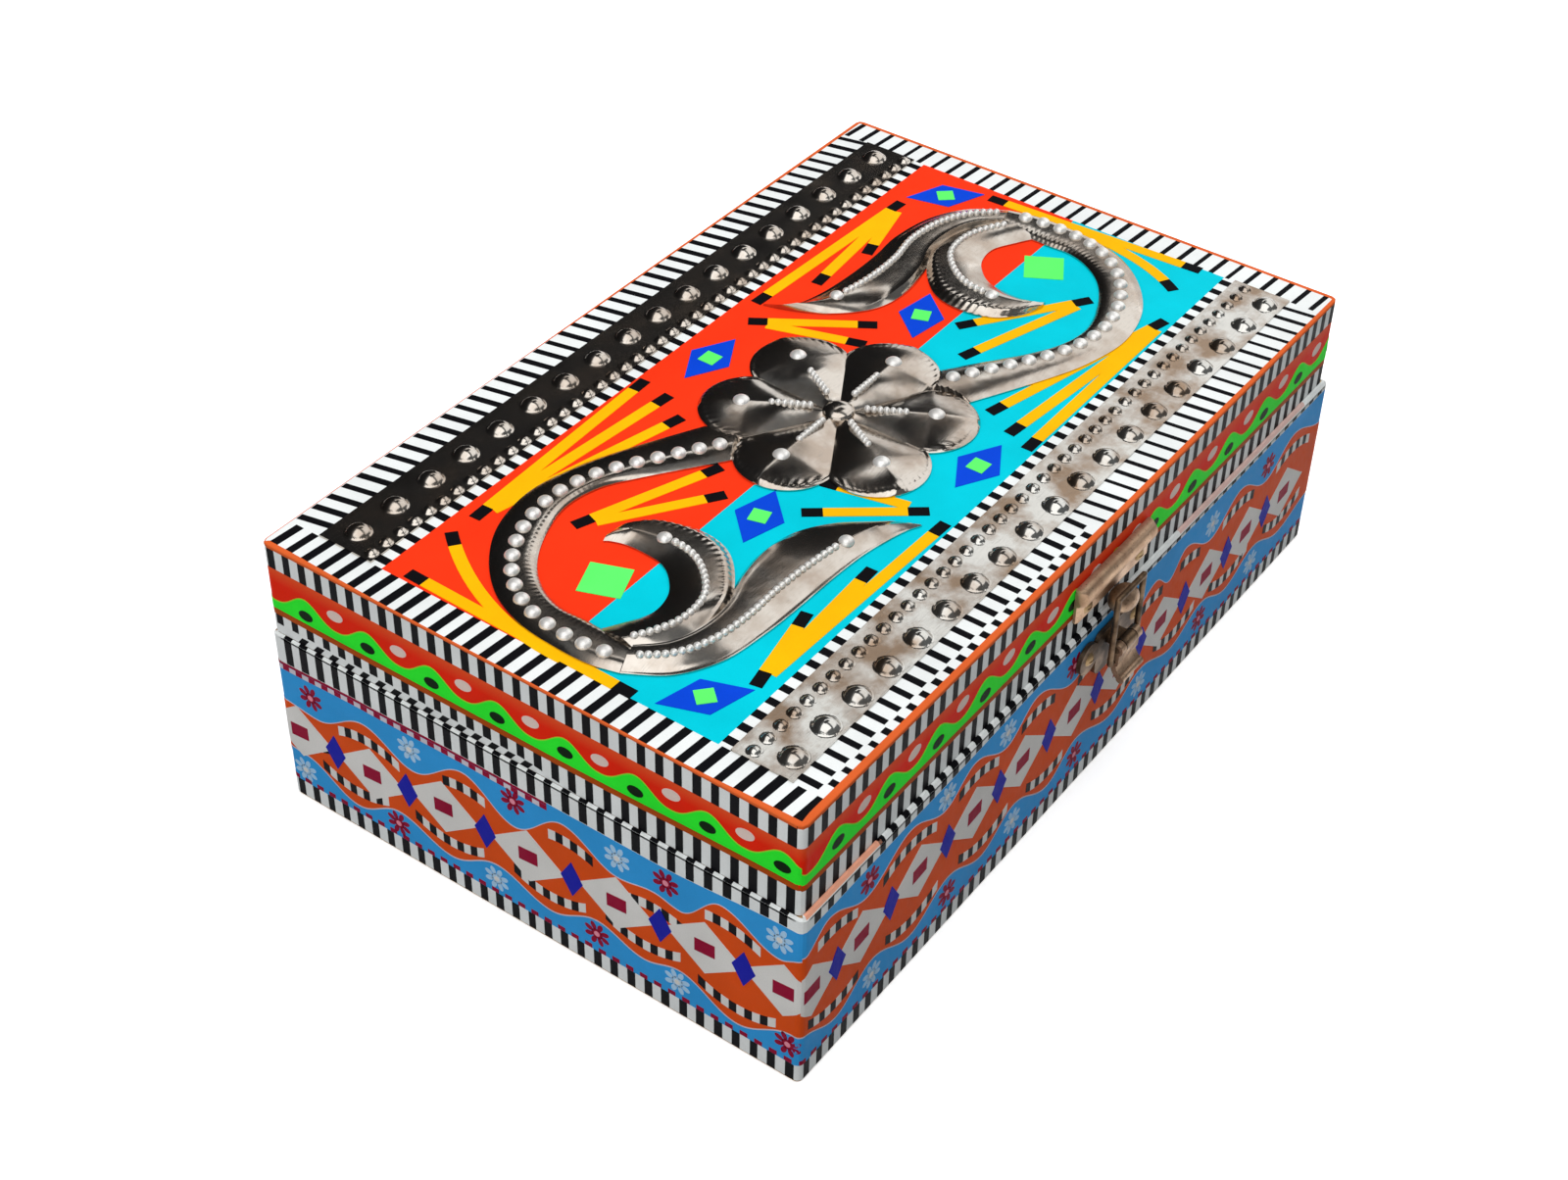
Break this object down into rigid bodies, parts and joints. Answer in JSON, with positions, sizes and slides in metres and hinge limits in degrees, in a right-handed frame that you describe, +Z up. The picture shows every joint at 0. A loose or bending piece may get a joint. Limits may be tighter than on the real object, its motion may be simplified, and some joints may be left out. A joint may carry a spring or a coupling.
{
  "type": "decorative storage box",
  "caption": "Hinged wooden storage box clad in striped and patterned vinyl, with pressed steel scroll ornaments on its lid and a small toggle latch at the front.",
  "frame": {"origin": "centre of the underside, on the surface that the box rests on", "axes": "X along the length, Y from the latch side to the hinge side, Z up"},
  "size_m": [0.2512, 0.172, 0.0861],
  "materials": {
    "wood": "bare sanded softwood",
    "vinyl_white": "glossy cut vinyl",
    "vinyl_blue": "glossy cut vinyl",
    "vinyl_orange": "glossy cut vinyl",
    "vinyl_grey": "glossy cut vinyl",
    "vinyl_navy": "glossy cut vinyl",
    "vinyl_brown": "glossy cut vinyl",
    "vinyl_crimson": "glossy cut vinyl",
    "vinyl_trim": "glossy cut vinyl",
    "vinyl_green": "glossy cut vinyl",
    "vinyl_red": "glossy cut vinyl",
    "vinyl_cyan": "glossy cut vinyl",
    "vinyl_yellow": "glossy cut vinyl",
    "vinyl_black": "glossy cut vinyl",
    "vinyl_royal": "glossy cut vinyl",
    "vinyl_lime": "glossy cut vinyl",
    "pressed_steel": "polished pressed sheet, a little tarnished",
    "antique_brass": "antique dark brass"
  },
  "bodies": {
    "base": {"base_bottom_panel": "wood", "base_front_wall": "wood", "base_back_wall": "wood", "base_left_wall": "wood", "base_right_wall": "wood", "base_bottom_striped_tape": "vinyl_white", "base_top_striped_tape": "vinyl_white", "base_blue_wrap": "vinyl_blue", "base_orange_ribbon": "vinyl_orange", "base_grey_diamonds": "vinyl_grey", "base_blue_links": "vinyl_navy", "left_hinge_base_leaf": "antique_brass", "left_hinge_pin": "antique_brass", "right_hinge_base_leaf": "antique_brass", "right_hinge_pin": "antique_brass", "base_hinge_screws": "antique_brass", "latch_catch_plate": "antique_brass", "latch_lever_pin": "antique_brass", "catch_plate_screws": "antique_brass"},
    "lid": {"lid_top_panel": "wood", "lid_front_rail": "wood", "lid_back_rail": "wood", "lid_left_rail": "wood", "lid_right_rail": "wood", "lid_lower_striped_tape": "vinyl_white", "lid_upper_striped_tape": "vinyl_white", "lid_border_tapes": "vinyl_white", "lid_narrow_tapes": "vinyl_white", "lid_brown_line": "vinyl_brown", "lid_red_wrap": "vinyl_crimson", "lid_edge_trim": "vinyl_trim", "lid_green_wave": "vinyl_green", "lid_red_sheet": "vinyl_red", "lid_cyan_sheet": "vinyl_cyan", "lid_yellow_fans": "vinyl_yellow", "lid_black_stick_ends": "vinyl_black", "lid_blue_diamonds": "vinyl_royal", "lid_lime_squares": "vinyl_lime", "rosette": "pressed_steel", "left_scroll_stem": "pressed_steel", "right_scroll_stem": "pressed_steel", "left_forked_leaf": "pressed_steel", "right_forked_leaf": "pressed_steel", "back_studded_strip": "pressed_steel", "front_studded_strip": "pressed_steel", "left_hinge_lid_leaf": "antique_brass", "right_hinge_lid_leaf": "antique_brass", "lid_hinge_screws": "antique_brass", "latch_strike_plate": "antique_brass", "strike_plate_screws": "antique_brass"},
    "latch_lever": {"latch_lever": "antique_brass"},
    "latch_loop": {"latch_wire_loop": "antique_brass"}
  },
  "joints": [
    {"name": "lid_hinge", "type": "hinge", "parent": "base", "child": "lid", "pos_m": [0, 0.08205, 0.05415], "axis": [-1, 0, 0], "range_deg": [0, 110]},
    {"name": "lever_hinge", "type": "hinge", "parent": "base", "child": "latch_lever", "pos_m": [0.005, -0.08475, 0.0464], "axis": [-1, 0, 0], "range_deg": [0, 110]},
    {"name": "loop_hinge", "type": "hinge", "parent": "latch_lever", "child": "latch_loop", "pos_m": [0.005, -0.08415, 0.0424], "axis": [-1, 0, 0], "range_deg": [-132, 0]}
  ],
  "couplings": [
    {"joint": "loop_hinge", "follows": "lever_hinge", "ratio": -1.2}
  ]
}
